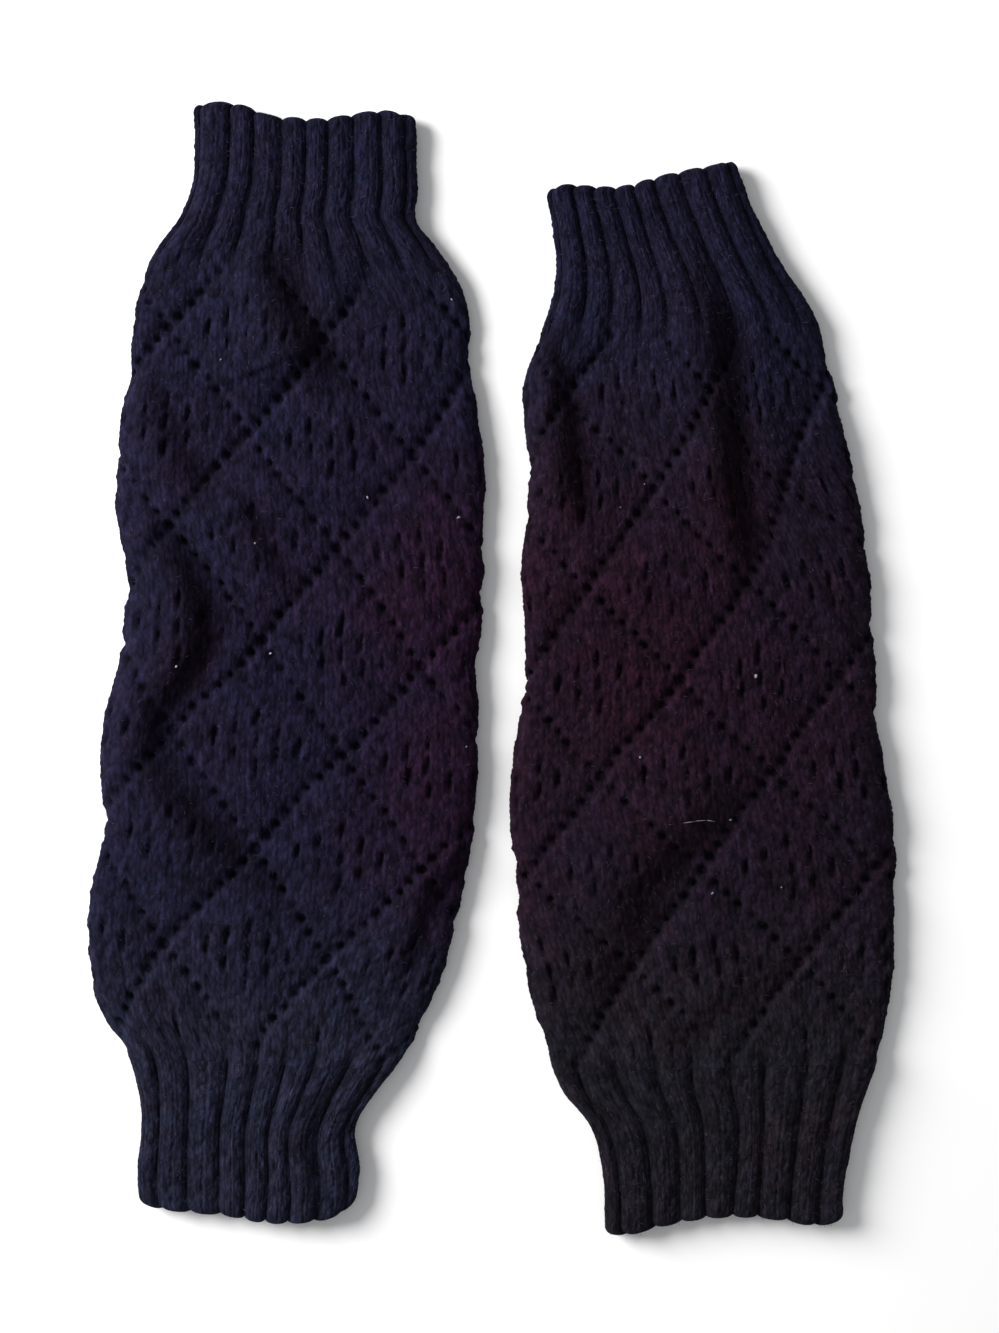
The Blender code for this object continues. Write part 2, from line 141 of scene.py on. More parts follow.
# Each table goes from the upper end to the lower one. Outline: y, x of the left side, x of the right
# side. Rims: share of the width from the left, y of the open edge. Tilt: share of the body's length,
# how much higher a knitted row ends on the right than it starts on the left. Twist: share of the
# body's length, wales by which the lattice has turned round the tube. Furrows between ribs: shares of
# the width from the left. Swallowed: y, wales that the fold at x has taken in there. Creases: points
# down along each crease, with x, y, width, height; those of the underside are shallow hollows.
LEFT = {
    "name": "left",
    "seams": (124.2, -118.2),
    "tilt": ((0, -4), (0.2, -12), (0.8, -12), (1, -4)),
    "twist": ((0, -1.1), (0.5, 1.35), (1, 3.8)),
    "furrows": {
        "top": (0.044, 0.175, 0.284, 0.406, 0.507, 0.603, 0.712, 0.825, 0.925),
        "bottom": (0, 0.122, 0.243, 0.38, 0.487, 0.586, 0.685, 0.807, 0.92),
    },
    "outline": (
        (170, -90, -22.5), (157.2, -89.4, -22.8), (142.2, -91.2, -22.5), (134.7, -94.5, -22.8),
        (127.2, -100.2, -17.4), (119.7, -104.1, -12), (112.2, -106.2, -8.4), (104.7, -107.4, -6.3),
        (89.7, -109.2, -6.3), (74.7, -111.6, -4.5), (59.7, -113.1, -2.4), (44.7, -112.5, -2.4),
        (29.7, -109.8, -2.1), (14.7, -110.4, -2.7), (-0.3, -112.8, -5.1), (-15.3, -116.4, -3.9),
        (-30.3, -117.6, -3.9), (-45.3, -117, -4.8), (-60.3, -119.4, -7.8), (-75.3, -121.2, -10.2),
        (-90.3, -120, -14.7), (-105.3, -116.1, -20.4), (-112.8, -111.3, -24),
        (-120.3, -108.3, -29.1), (-127.8, -106.5, -35.1), (-135.3, -105.9, -39.9),
        (-150.3, -107.1, -39.3), (-166, -106.5, -42),
    ),
    "top_rim": (
        (0, 168.6), (0.06, 169.4), (0.17, 169.4), (0.26, 167.8), (0.32, 166), (0.45, 164.8),
        (0.6, 164.6), (0.72, 166), (0.87, 167), (1, 165.2),
    ),
    "bottom_rim": (
        (0, -158.8), (0.08, -161.1), (0.22, -162.3), (0.43, -163.8), (0.56, -165.5), (0.74, -165.6),
        (0.88, -164.1), (0.96, -161), (1, -157.8),
    ),
    "creases": (
        (
            (-64, 134, 4.5, 0), (-61, 127, 5, 2), (-58.5, 118, 5.5, 3.6), (-54, 106, 6, 4.6),
            (-48.5, 97, 5.5, 4.2), (-47, 88, 4.5, 2.2), (-47, 78, 3.5, 0),
        ),
        ((-45, 104, 3, 0), (-53, 92, 3, 1.2), (-61, 83, 3, 1.2), (-69, 75, 3, 0)),
        (
            (-98, 93, 4, 0), (-97, 83, 4, 1.7), (-92, 70, 4.5, 2.3), (-86, 60.5, 4.5, 2.3),
            (-78, 56, 4, 1.4), (-70, 50, 4, 0),
        ),
        (
            (-99, 51, 3.5, 0), (-95.5, 42, 4, 2.5), (-87.5, 31, 4.5, 4.2), (-83, 22, 5, 4.8),
            (-82, 10, 5.2, 4.9), (-85.5, 0, 5, 4.6), (-92, -9, 4.5, 3.7), (-97.5, -18, 4.5, 2.9),
            (-96.5, -28, 5, 3.2), (-85.5, -41, 5.5, 3.8), (-73.5, -52.5, 5.5, 3.3),
            (-65, -60, 4.5, 1.5), (-58, -66, 4, 0),
        ),
        (
            (-77, 61, 3, 0), (-71, 50, 3.5, 2), (-64.5, 38, 3.5, 2.2), (-59.5, 27, 3.2, 1),
            (-57, 19, 3, 0),
        ),
        (
            (-4, -50, 4, 0), (-7, -59, 4, 2), (-15, -69, 4, 2.7), (-19, -80, 4, 2.7),
            (-24, -92, 4, 1.7), (-32, -103, 4, 0),
        ),
        ((-98.5, -90, 3, 0), (-98, -98, 3.2, 1.4), (-96, -110, 3.2, 1.2), (-94, -119, 3, 0)),
        (
            (-44, -120, 2.6, 0), (-51, -130, 2.8, 1.3), (-54, -142, 2.8, 1.5), (-52, -155, 2.6, 1),
            (-50, -164, 2.6, 0.5),
        ),
    ),
    "under_creases": (
        ((-30, 108, 3, 0), (-37, 92, 3.5, 1.1), (-34, 70, 3.5, 0.9), (-26, 55, 3, 0)),
        ((-96, 64, 2.5, 0), (-84, 50, 3, 0.9), (-66, 41, 3.2, 1.1), (-52, 38, 2.5, 0)),
        ((-28, 16, 4, 0), (-38, -8, 4.5, 1.2), (-41, -34, 4, 1.2), (-36, -58, 3, 0)),
        ((-104, -48, 3, 0), (-90, -64, 3.4, 1), (-72, -78, 3.2, 0.7), (-62, -90, 3, 0)),
    ),
}
RIGHT = {
    "name": "right",
    "seams": (106, -119.5),
    "tilt": ((0, 3), (0.2, 3.4), (0.8, 3.4), (1, 3)),
    "twist": ((0, -0.35), (0.5, 3.1), (1, 6.6)),
    "furrows": {
        "top": (0.046, 0.155, 0.256, 0.365, 0.457, 0.566, 0.694, 0.808, 0.915),
        "bottom": (0, 0.095, 0.212, 0.325, 0.422, 0.54, 0.64, 0.767, 0.87),
    },
    "outline": (
        (156, 15.6, 72.5), (147.9, 16.2, 74.4), (142.2, 16.2, 76.5), (134.7, 17.7, 79.8),
        (127.2, 18.6, 83.7), (119.7, 19.2, 88.2), (112.2, 18.3, 93.3), (104.7, 15.9, 97.5),
        (97.2, 13.2, 99.9), (89.7, 10.5, 102), (74.7, 9.6, 105), (59.7, 10.8, 107.7),
        (44.7, 9.9, 111.3), (29.7, 8.7, 113.4), (14.7, 9.9, 114.6), (-0.3, 9.9, 115.2),
        (-15.3, 8.4, 115.8), (-30.3, 6.3, 118.2), (-45.3, 5.4, 120.6), (-60.3, 6.6, 121.5),
        (-75.3, 7.5, 120.9), (-90.3, 10.5, 120), (-105.3, 13.5, 118.5), (-112.8, 16.2, 117.3),
        (-120.3, 17.7, 115.5), (-127.8, 21.3, 112.8), (-135.3, 27.6, 110.4), (-142.8, 30.9, 108.6),
        (-150.3, 32.4, 107.1), (-170, 33.3, 105.3),
    ),
    "top_rim": (
        (0, 143), (0.08, 144.8), (0.19, 144.4), (0.33, 144), (0.43, 144.6), (0.52, 146.2),
        (0.66, 148.4), (0.78, 149.8), (0.9, 151.2), (0.95, 152.6), (1, 150.8),
    ),
    "bottom_rim": (
        (0, -168.6), (0.07, -169.6), (0.22, -167.1), (0.38, -164.7), (0.59, -163.8), (0.76, -165),
        (0.9, -166.6), (1, -164.6),
    ),
    "fold": 75,
    "swallowed": ((130, 1), (105, 2.6), (82, 3.3), (65, 2.9), (47, 1.3), (29, 0), (0, 0)),
    "creases": (
        (
            (62, 129, 3.5, 0), (66, 118, 4.5, 2.4), (72, 105, 5.5, 4.3), (75, 91, 6, 5),
            (75.5, 73, 5.5, 5), (76, 57, 5, 4.6), (78, 44, 4.5, 3.5), (78, 30, 4, 1.6),
            (77, 16, 3.5, 0),
        ),
        (
            (18, 107, 3.5, 0), (21, 97, 3.8, 1.8), (25, 82, 4.2, 3.6), (27, 67, 4.4, 4),
            (28.5, 53, 4, 3.2), (31, 42, 3.5, 0),
        ),
        (
            (84, -34, 6, 0), (73, -46, 6.5, 1.9), (59, -59, 7, 3), (49, -72, 7, 3),
            (42, -90, 6.5, 2.2), (33, -112, 5.5, 0),
        ),
        (
            (84, -93, 3.5, 0), (76, -100, 3.5, 1.2), (66, -106, 3.5, 1.5), (60, -112, 3.5, 0.9),
            (54, -119, 3.5, 0),
        ),
    ),
    "under_creases": (
        ((88, 92, 3, 0), (80, 70, 3.5, 1.1), (76, 44, 3.5, 1.2), (79, 22, 3, 0)),
        ((30, 40, 2.5, 0), (38, 18, 3, 0.8), (40, 2, 3, 0.9), (36, -16, 2.5, 0)),
        ((98, -30, 4, 0), (84, -48, 4.5, 1.2), (66, -58, 4, 0.9), (54, -62, 3, 0)),
        ((24, -72, 3, 0), (33, -84, 3.2, 0.7), (46, -97, 3, 0)),
    ),
}

# Mesh density: columns for each wale that shows and each hidden one, rows for each course
SHOWN_COLUMNS = 4
HIDDEN_COLUMNS = 2
COURSE_ROWS = 3
CUFF_COLUMNS = {"upper": 20, "lower": 12}  # for each rib
CUFF_ROWS = 90
LIP_ROWS = 7
INNER_STRIDE = 6
INNER_ROWS = {"body": 40, "cuff": 14}

# Bake atlas of a wall: first place and width of the outer side and the inner side, first place and
# height of both, and the thin strips that hold the two ends
ATLAS_OUTER = (0.01, 0.76)
ATLAS_INNER = (0.80, 0.19)
ATLAS_TALL = (0.01, 0.98)
ATLAS_ENDS = (0.001, 0.996)


def smooth(table, column, at):
    """Value of a table's column on a smooth curve through its rows, at a place in its first column."""
    rows = np.array(sorted(table), float)
    places, values = rows[:, 0], rows[:, column]
    slopes = np.gradient(values, places)
    row = np.clip(np.searchsorted(places, at) - 1, 0, len(places) - 2)
    span = places[row + 1] - places[row]
    u = np.clip((at - places[row]) / span, 0.0, 1.0)
    ends = (1 + 2 * u) * (1 - u) ** 2 * values[row] + u * u * (3 - 2 * u) * values[row + 1]
    return ends + span * u * (1 - u) * ((1 - u) * slopes[row] - u * slopes[row + 1])


def near_creases(creases, x, y):
    """For each crease: how many of its widths every place lies from it, its height there and its side."""
    for points in creases:
        nearest = np.full_like(x, np.inf)
        width, height, right = np.ones_like(x), np.zeros_like(x), np.zeros_like(x, bool)
        for start, end in zip(points, points[1:]):
            run = np.subtract(end[:2], start[:2])
            along = ((x - start[0]) * run[0] + (y - start[1]) * run[1]) / (run @ run)
            along = np.clip(along, 0.0, 1.0)
            off_x = x - start[0] - along * run[0]
            off_y = y - start[1] - along * run[1]
            off = np.hypot(off_x, off_y)
            closer = off < nearest
            on_right = run[0] * off_y - run[1] * off_x > 0
            nearest = np.where(closer, off, nearest)
            width = np.where(closer, start[2] + along * (end[2] - start[2]), width)
            height = np.where(closer, start[3] + along * (end[3] - start[3]), height)
            right = np.where(closer, on_right, right)
        yield nearest / (width * np.where(right, STEEP_FLANK, LONG_FLANK)), height, right


def crease_lift(creases, x, y):
    """Height that the creases add to the upper layer: none along a crease, with raised cloth beside it."""
    lift = np.zeros_like(x)
    for far, height, right in near_creases(creases, x, y):
        raised = height * np.where(right, STEEP_SHARE, 1.0) / CREST
        lift += raised * (np.exp(-((far / SHOULDER) ** 2)) - np.exp(-(far**2)))
    return lift


def crease_dip(creases, x, y):
    """Depth of the soft hollows where the lower layer's cloth stands off the floor."""
    dip = np.zeros_like(x)
    for far, height, _ in near_creases(creases, x, y):
        dip = np.maximum(dip, height * np.exp(-(far**2)))
    return dip


def fold_shade_field(creases, x, y):
    """How deep in a crease each place lies, from 0 to 1, most on the long flank that falls to it: the mask
    of painted shade.
    """
    deep = np.zeros_like(x)
    at_line = np.exp(-((FOLD_MIDDLE / FOLD_SPREAD) ** 2))
    for far, height, right in near_creases(creases, x, y):
        flank = np.exp(-(((far - FOLD_MIDDLE) / FOLD_SPREAD) ** 2))
        flank = np.where(right, at_line * np.exp(-((FOLD_CUT * far) ** 2)), flank)
        deep = np.maximum(deep, np.minimum(height / FOLD_FULL, 1.0) * flank)
    return deep


def half_ring(share, width, rise, turn):
    """Upper half of a flattened ring: distance from its left side, height and outward normal."""
    quarter = 0.5 * np.pi * np.sqrt(0.5 * (turn**2 + rise**2))
    total = 2 * quarter + width - 2 * turn
    run = np.minimum(share, 1 - share) * total
    angle = np.clip(run / quarter, 0.0, 1.0) * 0.5 * np.pi
    across = turn * (1 - np.cos(angle)) + np.maximum(run - quarter, 0.0)
    normal = np.stack([-np.cos(angle) * rise, np.sin(angle) * turn], axis=-1)
    normal /= np.linalg.norm(normal, axis=-1, keepdims=True)
    right = share > 0.5
    across = np.where(right, width - across, across)
    normal[..., 0] *= np.where(right, -1, 1)
    return across, rise * np.sin(angle), normal


def wander(seed, around, along, cells_around, cells_along):
    """Soft noise from -1 to 1 that closes round the tube; around and along run from 0 to 1."""
    knots = np.random.default_rng(seed).uniform(-1, 1, (cells_along + 2, cells_around))
    u = (around % 1.0) * cells_around
    v = np.clip(along, 0.0, 1.0) * cells_along
    i, j = np.floor(u).astype(int), np.floor(v).astype(int)
    p, q = u - i, v - j
    p, q = p * p * (3 - 2 * p), q * q * (3 - 2 * q)
    left, right = i % cells_around, (i + 1) % cells_around
    above = knots[j, left] * (1 - p) + knots[j, right] * p
    below = knots[j + 1, left] * (1 - p) + knots[j + 1, right] * p
    return above * (1 - q) + below * q


def scatter(a, b, kind):
    """A number from -1 to 1 that is the same for the same stitch."""
    spread = np.sin(a * 12.9898 + b * 78.233 + kind * 37.719) * 43758.5453
    return 2 * (spread - np.floor(spread)) - 1


def row_height(warmer, panel, t, share):
    """Y of the cloth at share t of the panel's length from its top, and a share of its width."""
    top, bottom = warmer["seams"]
    clear = 0.5 * SEAM_GAP
    if panel == "body":
        tilt = smooth(warmer["tilt"], 1, t)
        return top - clear + t * (bottom - top + 2 * clear) + tilt * (share - 0.5)
    if panel == "top_cuff":
        joined, at_seam, rim, to_rim = top + clear, 0.0, warmer["top_rim"], 1 - t
    else:
        joined, at_seam, rim, to_rim = bottom - clear, 1.0, warmer["bottom_rim"], t
    seam = joined + smooth(warmer["tilt"], 1, at_seam) * (share - 0.5)
    return (1 - to_rim) * seam + to_rim * smooth(rim, 1, share)


def rib_strength(warmer, panel, t):
    """How full the ribs are at this row, and 1 where they are the upper cuff's."""
    if panel != "body":
        return np.ones_like(t), np.full_like(t, panel == "top_cuff")
    top, bottom = warmer["seams"]
    from_top, from_bottom = t * (top - bottom), (1 - t) * (top - bottom)
    strength = np.maximum(0.0, 1 - np.minimum(from_top, from_bottom) / RIB_FADE) ** 2
    return strength, (from_top < from_bottom).astype(float)


def rib_place(warmer, share, y, upper_cuff):
    """Ribs passed since the left side, a whole number in each furrow, with each furrow's small waves."""
    around = np.where(share < 1, share, 2 - share)
    found = {}
    for end, places in warmer["furrows"].items():
        known = np.concatenate([[places[-1] - 1], places, [places[0] + 1]])
        found[end] = np.interp(around, known, np.arange(len(known)) - 1.0)
    ribs = np.where(np.greater(upper_cuff, 0.5), found["top"], found["bottom"])
    along = 0.5 - y / LENGTH
    return ribs + RIB_WANDER * wander(RNG_SEED + 2, 0.5 * share, along, 2 * RIBS_ACROSS, 12)


def rib_round(ribs):
    """Height of the rounded rib, 0 in the furrow and 1 on the crown."""
    off = np.abs(ribs - np.round(ribs))
    return (1 - (1 - 2 * off) ** FURROW_PINCH) ** FURROW_EASE


def nearest_eyelet(wale, course, slant):
    """Wales and courses to the nearest eyelet of the lines that slant that way, and its two numbers."""
    row = np.round((course - NODE_COURSE) / 2)
    line = np.round((wale - NODE_WALE - slant * row) / REPEAT)
    return wale - NODE_WALE - slant * row - REPEAT * line, course - NODE_COURSE - 2 * row, row, line


def nearest_slit(wale, course):
    """Wales and courses to the nearest slit of the diamond round this place, and its two numbers."""
    band = np.round((course - NODE_COURSE) / REPEAT)
    middle = NODE_WALE + 0.5 * REPEAT * (1 - band % 2)
    diamond = np.round((wale - middle) / REPEAT)
    across = wale - middle - REPEAT * diamond
    down = course - NODE_COURSE - REPEAT * band
    first = np.clip(np.round((across + down) / (2 * SLIT_STEP)), -1, 1)
    second = np.clip(np.round((across - down) / (2 * SLIT_STEP)), -1, 1)
    across = across - SLIT_STEP * (first + second)
    down = down - SLIT_STEP * (first - second)
    return across, down, 17 * band + 3 * first + second, diamond


def lace_relief(wale, course):
    """Height of the lace over the plain cloth, and how deep inside an eyelet each place is, 0 to 1."""
    height = np.zeros_like(wale)
    hole = np.zeros_like(wale)
    near_line = np.full_like(wale, np.inf)
    for name, slant in (("falling", 1), ("rising", -1)):
        across, down, row, line = nearest_eyelet(wale, course, slant)
        side_stray, down_stray, wider, pull, higher, skew = (
            scatter(row, line, slant + kind) for kind in (0, 5, 9, 13, 17, 21)
        )
        across = across + EYELET_STRAY[0] * side_stray
        down = down + EYELET_STRAY[1] * down_stray
        radius = EYELET_RADIUS * (1 + EYELET_UNEVEN * wider)
        off = np.hypot(across * WALE, (down + EYELET_SKEW * skew * across) * COURSE) / radius
        pulled = LINE_OPEN[name] * (EYELET_PULL[0] + EYELET_PULL[1] * pull)
        well = pulled / (1 + off**EYELET_EDGE)
        hole = np.maximum(hole, well)
        height -= EYELET_DEPTH * well
        bump_down = down + BUMP_PLACE[1] * slant
        bump = np.hypot((across - BUMP_PLACE[0]) * WALE, bump_down * COURSE) / BUMP_RADIUS
        height += BUMP_HEIGHT * (1 + BUMP_UNEVEN * higher) * np.exp(-(bump**2))
        gap = (wale - slant * 0.5 * (course - NODE_COURSE) - NODE_WALE + 0.5 * REPEAT) % REPEAT
        gap = np.abs(gap - 0.5 * REPEAT) * WALE * LINE_NEARER
        height -= LINE_DEPTH[name] * np.exp(-((gap / LINE_HALF_WIDTH) ** 2))
        near_line = np.minimum(near_line, gap)
    height += QUILT_HEIGHT * (1 - np.exp(-((near_line / QUILT_REACH) ** 2)) - 0.5)
    across, down, row, line = nearest_slit(wale, course)
    down = down + SLIT_STRAY[1] * scatter(row, line, 3)
    across = across + SLIT_STRAY[0] * scatter(row, line, 4) + SLIT_LEAN * down
    tall = SLIT_HALF_HEIGHT * (1 + SLIT_UNEVEN * scatter(row, line, 5))
    off = np.hypot(across * WALE / SLIT_HALF_WIDTH, down * COURSE / tall)
    well = (SLIT_PULL[0] + SLIT_PULL[1] * scatter(row, line, 6)) / (1 + off**SLIT_EDGE)
    height -= SLIT_DEPTH * well
    ridge, place, spread = SLIT_RIDGE
    height += ridge * np.exp(-(((off - place) / spread) ** 2))
    return height, np.clip(np.maximum(hole, SLIT_SHADE * well), 0.0, 1.0)


def stitch_relief(wale, course):
    """Height of plain knitting: each stitch has two legs that lean apart, none quite like the next."""
    across = wale - np.round(wale)
    climbed = course - LEG_LEAN * np.abs(across)
    legs = -np.cos(4 * np.pi * across)
    side = np.floor(2 * wale)
    row = np.floor(climbed)
    blend = climbed - row
    blend = blend * blend * (3 - 2 * blend)
    uneven = (1 - blend) * scatter(side, row, 31) + blend * scatter(side, row + 1, 31)
    return LEG_HEIGHT * legs + LOOP_HEIGHT * np.cos(2 * np.pi * climbed) + LEG_UNEVEN * uneven


def rib_relief(ribs, course):
    """Height of the rib: two knit wales on its crown and a furrow on both sides of them."""
    crown = 1 - 2 * np.abs(ribs - np.round(ribs))
    wale = 0.5 * crown / KNIT_SHARE
    stitches = stitch_relief(wale + 4 * np.round(ribs), course)
    stitches = np.where(crown < KNIT_SHARE, stitches, FURROW_STITCHES * stitches)
    return stitches - FURROW_DEPTH * (1 - rib_round(ribs))


def press_flat(relief, share):
    """The relief of the upper layer as it is, and that of the underside sunk below its face."""
    return np.where(share >= 1, np.minimum(relief - PRESSED, 0.0), relief)


def tube(warmer, panel, t, share, relief, inner):
    """Points of the laid tube; t runs down the panel and share round it, 0 to 1 above, 1 to 2 below."""
    left = smooth(warmer["outline"], 1, row_height(warmer, panel, t, 0.0))
    right = smooth(warmer["outline"], 2, row_height(warmer, panel, t, 1.0))
    strength, _ = rib_strength(warmer, panel, t)
    wall = BODY_WALL + (CUFF_WALL - BODY_WALL) * strength
    puff = np.sin(np.pi * t) if panel == "body" else 0.0
    side_height = wall + 0.5 * (SEAM_AIR + (BODY_AIR - SEAM_AIR) * puff)
    inset = wall if inner else 0.0
    upper = share < 1
    turn = np.where(upper, UPPER_TURN, LOWER_TURN) - inset
    around = np.where(upper, share, 2 - share)
    across, rise, normal = half_ring(around, right - left - 2 * inset, side_height - inset, turn)
    across = across + inset + relief * normal[..., 0]
    x = left + across
    y = row_height(warmer, panel, t, np.clip(across / (right - left), 0.0, 1.0))
    full = rise / (side_height - inset)
    crown = CROWN * puff * np.sin(np.pi * np.clip(across / (right - left), 0.0, 1.0))
    raised = crown + full**SIDE_EASE * crease_lift(warmer["creases"], x, y)
    if inner:
        raised = INNER_RISE * np.tanh(raised / INNER_RISE)
    up = np.where(upper, 1.0, -1.0)
    sunk = 0.0 if inner else full * crease_dip(warmer["under_creases"], x, y)
    z = side_height + up * (rise + relief * normal[..., 1]) + np.where(upper, raised, sunk)
    return np.stack([x, y, np.maximum(z, 0.0)], axis=-1)


def tube_faces(rows, around):
    """Quads between rings of points, and the ring and column that each starts at."""
    row, column = np.meshgrid(np.arange(rows), np.arange(around), indexing="ij")
    here, beside = row * around + column, row * around + (column + 1) % around
    faces = np.stack([here, beside, beside + around, here + around], axis=-1).reshape(-1, 4)
    return faces, np.stack([row, column], axis=-1).reshape(-1, 2)


def atlas_places(side, across, down):
    """Places on the atlas for shares of the way round one side and down it."""
    return np.stack([side[0] + side[1] * across, ATLAS_TALL[0] + ATLAS_TALL[1] * down], -1)


def add_field(mesh, name, values):
    """One value for each point, which the materials read by its name."""
    attribute = mesh.attributes.new(name, "FLOAT", "POINT")
    attribute.data.foreach_set("value", values.astype(np.float32))


def add_object(name, data):
    made = bpy.data.objects.new(name, data)
    bpy.context.scene.collection.objects.link(made)
    return made


def point_values(mesh, field):
    """Places ("co") or normals ("normal") of a mesh's points, a row for each."""
    values = np.empty(len(mesh.vertices) * 3, np.float32)
    mesh.vertices.foreach_get(field, values)
    return values.reshape(-1, 3)


def wall_mesh(name, outer, inner, picks, knit, fields):
    """One cloth wall: fine outer rings, coarser inner rings and the bands that join them at both ends.

    picks are the outer columns that the inner ones continue; knit has the wale and course of each outer
    point, and one more column for the far side of the last one.
    """
    rows, around = outer.shape[:2]
    inner_rows, inside = inner.shape[:2]
    first_inner = rows * around
    bounds = np.append(picks, around)
    quads, cells = tube_faces(rows - 1, around)
    corner_rows = cells[:, :1] + np.array([[0, 0, 1, 1]])
    corner_columns = cells[:, 1:] + np.array([[0, 1, 1, 0]])
    outer_knit = knit[corner_rows, corner_columns]
    atlas = atlas_places(ATLAS_OUTER, corner_columns / around, corner_rows / (rows - 1))
    ends, end_knit, end_atlas = [], [], []
    for outer_row, inner_row in ((0, 0), (rows - 1, inner_rows - 1)):
        for i in range(inside):
            corner = first_inner + inner_row * inside + i
            following = first_inner + inner_row * inside + (i + 1) % inside
            steps = [(k, k + 1) for k in range(bounds[i], bounds[i + 1])]
            for k, beside in steps:
                ends.append((corner, outer_row * around + k, outer_row * around + beside % around))
            ends.append((corner, outer_row * around + bounds[i + 1] % around, following))
            strip = ATLAS_ENDS[bool(outer_row)]
            for places in [(bounds[i], *step) for step in [*steps, (bounds[i + 1], bounds[i + 1])]]:
                end_knit.append(knit[outer_row, list(places)])
                end_atlas.append([(ATLAS_OUTER[0] + ATLAS_OUTER[1] * c / around, strip) for c in places])
    inner_quads, inner_cells = tube_faces(inner_rows - 1, inside)
    corner_rows = inner_cells[:, :1] + np.array([[0, 0, 1, 1]])
    corner_columns = inner_cells[:, 1:] + np.array([[0, 1, 1, 0]])
    matching = np.round(np.linspace(0, rows - 1, inner_rows)).astype(int)
    inner_knit = knit[matching[corner_rows], bounds[corner_columns]]
    inner_atlas = atlas_places(ATLAS_INNER, corner_columns / inside, corner_rows / (inner_rows - 1))
    points = np.concatenate([outer.reshape(-1, 3), inner.reshape(-1, 3)]) * MM
    faces = quads.tolist() + ends + (inner_quads[:, ::-1] + first_inner).tolist()
    mesh = bpy.data.meshes.new(name)
    mesh.from_pydata(points.tolist(), [], faces)
    for layer, parts in (
        ("OFBake", (atlas, end_atlas, inner_atlas[:, ::-1])),
        ("Knit", (outer_knit, end_knit, inner_knit[:, ::-1])),
    ):
        uv = mesh.uv_layers.new(name=layer)
        uv.data.foreach_set("uv", np.concatenate([np.reshape(p, (-1, 2)) for p in parts]).ravel())
    for field, values in fields.items():
        full = np.zeros(len(points))
        full[: rows * around] = values.ravel()
        add_field(mesh, field, full)
    mesh.shade_smooth()
    return mesh


def closed_round(wale, course, far_side):
    """Wale and course of each point, with the first column again at the end, that many wales further."""
    wale, course = np.broadcast_arrays(wale, course)
    last = np.stack([wale[:, :1] + far_side, course[:, :1]], axis=-1)
    return np.concatenate([np.stack([wale, course], axis=-1), last], axis=1)


def face_outward(mesh):
    """Turns all faces of a closed mesh outward."""
    shape = bmesh.new()
    shape.from_mesh(mesh)
    bmesh.ops.recalc_face_normals(shape, faces=shape.faces)
    shape.to_mesh(mesh)
    shape.free()


def body_mesh(warmer):
    """The lace tube: columns follow the wales round the tube and down its twist."""
    twists = [row[1] for row in warmer["twist"]]
    first, last = math.floor(-max(twists)), math.ceil(WALES_ABOVE - min(twists))
    shown = np.arange(first * SHOWN_COLUMNS, last * SHOWN_COLUMNS) / SHOWN_COLUMNS
    end = first + WALES_ROUND
    hidden = np.arange(last * HIDDEN_COLUMNS, end * HIDDEN_COLUMNS + 1) / HIDDEN_COLUMNS
    wales = np.concatenate([shown, hidden])
    squeeze = (2 * WALES_ABOVE - (last - first)) / (WALES_ROUND - (last - first))
    places = np.where(wales <= last, wales, last + (wales - last) * squeeze)[:-1]

    rows = COURSES * COURSE_ROWS
    t = (np.arange(rows + 1) / rows)[:, None]
    share = ((places[None, :] + smooth(warmer["twist"], 1, t)) / WALES_ABOVE) % 2.0
    around = (wales[:-1] - first)[None, :] / WALES_ROUND
    course = t * COURSES + COURSE_WANDER * wander(RNG_SEED, around, t, 12, 12)
    wale = wales[:-1][None, :] + WALE_WANDER * wander(RNG_SEED + 1, around, t, 12, 12)
    across = np.where(share < 1, share, 2 - share)
    y = row_height(warmer, "body", t, across)
    if "swallowed" in warmer:
        left, right = (smooth(warmer["outline"], side, y) for side in (1, 2))
        off_fold = left + across * (right - left) - warmer["fold"]
        past = np.where(share < 1, 0.5 + 0.5 * np.tanh(off_fold / SWALLOW_SOFT), 1)
        past = past * np.clip((2 - share) / SWALLOW_BACK, 0.0, 1.0)
        wale = wale + past * smooth(warmer["swallowed"], 1, y)
    lace, hole = lace_relief(wale, course)
    small = SMALL_SWELL * wander(RNG_SEED + 4, around, t, 40, 44)
    swell = SWELL * (wander(RNG_SEED + 3, around, t, 16, 16) + small)
    strength, upper_cuff = rib_strength(warmer, "body", t)
    ribs = rib_place(warmer, share, y, upper_cuff)
    plain = 1 - strength
    relief = plain * (lace + stitch_relief(wale, course) + swell)
    relief = relief + strength * rib_relief(ribs, course)
    outer = tube(warmer, "body", t, share, press_flat(relief, share), False)
    picks = np.arange(0, len(places), INNER_STRIDE)
    inner_t = (np.arange(INNER_ROWS["body"] + 1) / INNER_ROWS["body"])[:, None]
    inner_share = ((places[picks][None, :] + smooth(warmer["twist"], 1, inner_t)) / WALES_ABOVE) % 2.0
    inner = tube(warmer, "body", inner_t, inner_share, 0.0, True)
    # Masks for the painted shade in the eyelets and in the furrows between ribs
    fields = {"hole": hole * plain, "furrow": strength * (1 - rib_round(ribs))}
    knit = closed_round(wale, course, WALES_ROUND)
    return wall_mesh(f"{warmer['name']}_lace", outer, inner, picks, knit, fields)


